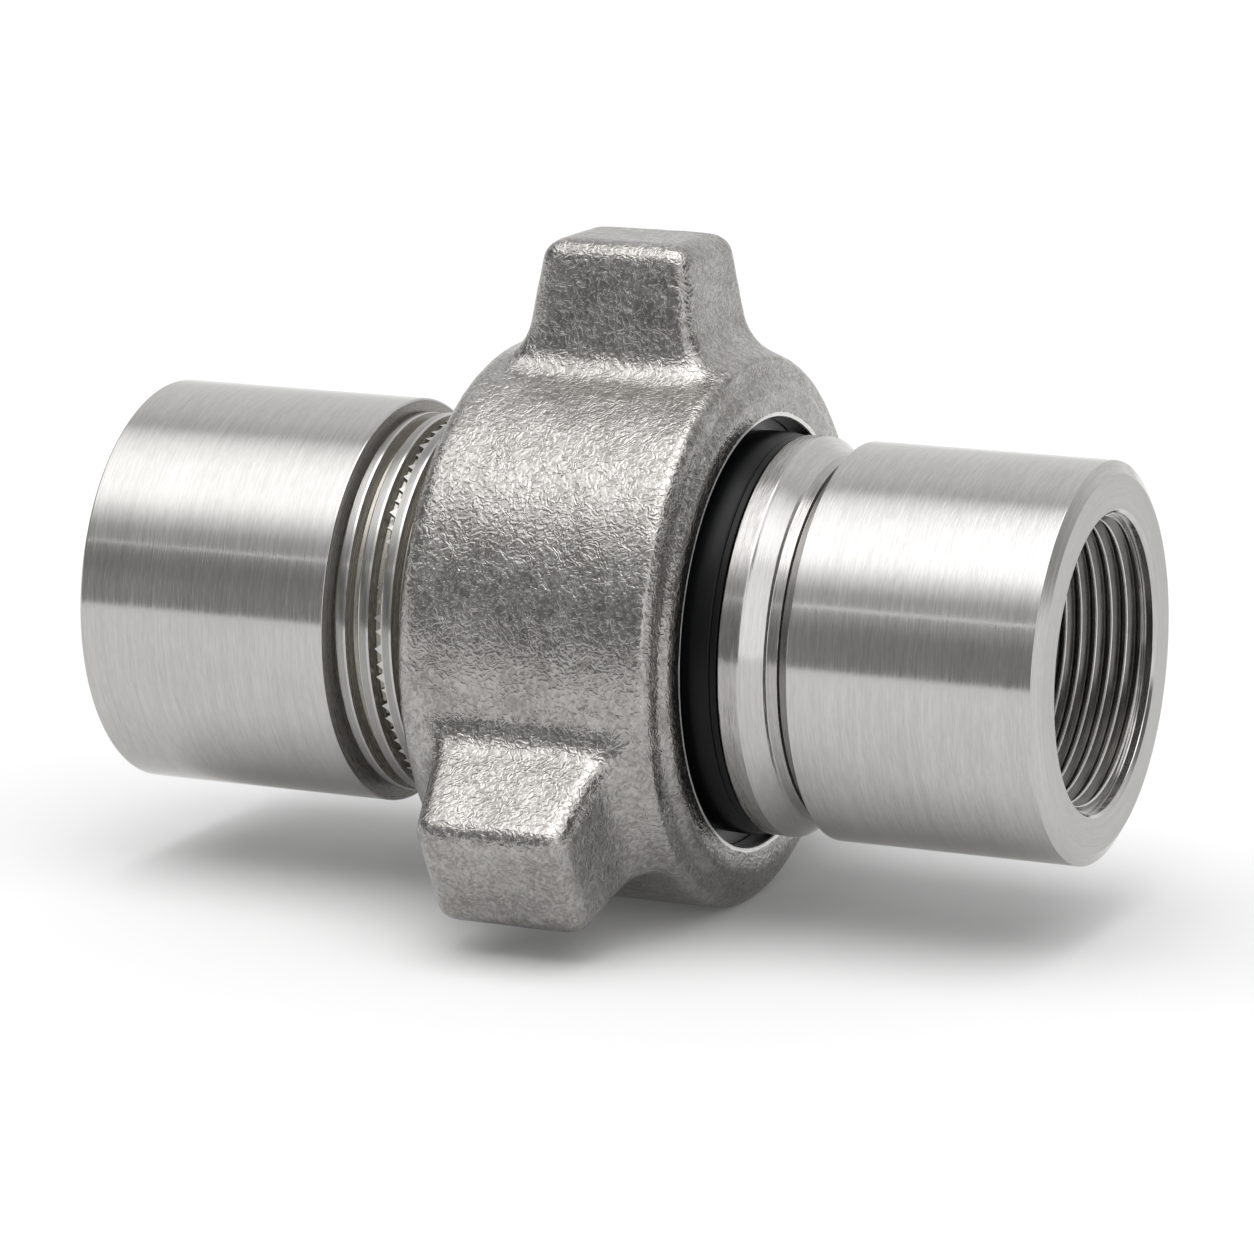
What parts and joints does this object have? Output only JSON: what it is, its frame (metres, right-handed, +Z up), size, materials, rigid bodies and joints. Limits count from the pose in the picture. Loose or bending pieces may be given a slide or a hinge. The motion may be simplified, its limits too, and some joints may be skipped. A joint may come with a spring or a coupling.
{
  "type": "hammer union",
  "caption": "Two-inch pipe union: a lugged wing nut, struck with a hammer, pulls a nose sub onto the seat of a threaded sub so that two pipes join tightly.",
  "frame": {"origin": "on the surface that the union lies on, under the middle of its length and its axis", "axes": "+X along the union's axis from the thread sub to the nose sub, +Z up"},
  "size_m": [0.2062, 0.1466, 0.1346],
  "materials": {
    "thread_sub_steel": "turned stainless steel with fine lines round the axis",
    "nose_sub_steel": "turned stainless steel with fine lines round the axis",
    "cast_steel": "satin investment-cast stainless steel with a fine pebbled skin",
    "ring_rubber": "black rubber with a dull sheen",
    "seal_rubber": "matte black nitrile rubber",
    "segment_steel": "machined steel",
    "spring_steel": "oiled spring steel"
  },
  "bodies": {
    "thread_half": {"thread_sub": "thread_sub_steel", "lip_seal": "seal_rubber"},
    "nose_half": {"nose_sub": "nose_sub_steel", "dust_ring": "ring_rubber"},
    "nut": {"wing_nut": "cast_steel", "retainer_segment_1": "segment_steel", "retainer_segment_2": "segment_steel", "retainer_segment_3": "segment_steel", "snap_ring": "spring_steel"}
  },
  "joints": [
    {"name": "nose_slide", "type": "slide", "parent": "thread_half", "child": "nose_half", "axis": [1, 0, 0], "range_m": [0, 0.0255]},
    {"name": "nut_turn", "type": "hinge", "parent": "nose_half", "child": "nut", "pos_m": [0, 0, 0.05584], "axis": [1, 0, 0], "range_deg": [0, 1800]}
  ],
  "couplings": [
    {"joint": "nose_slide", "follows": "nut_turn", "m_per_rad": 0.00080851}
  ]
}
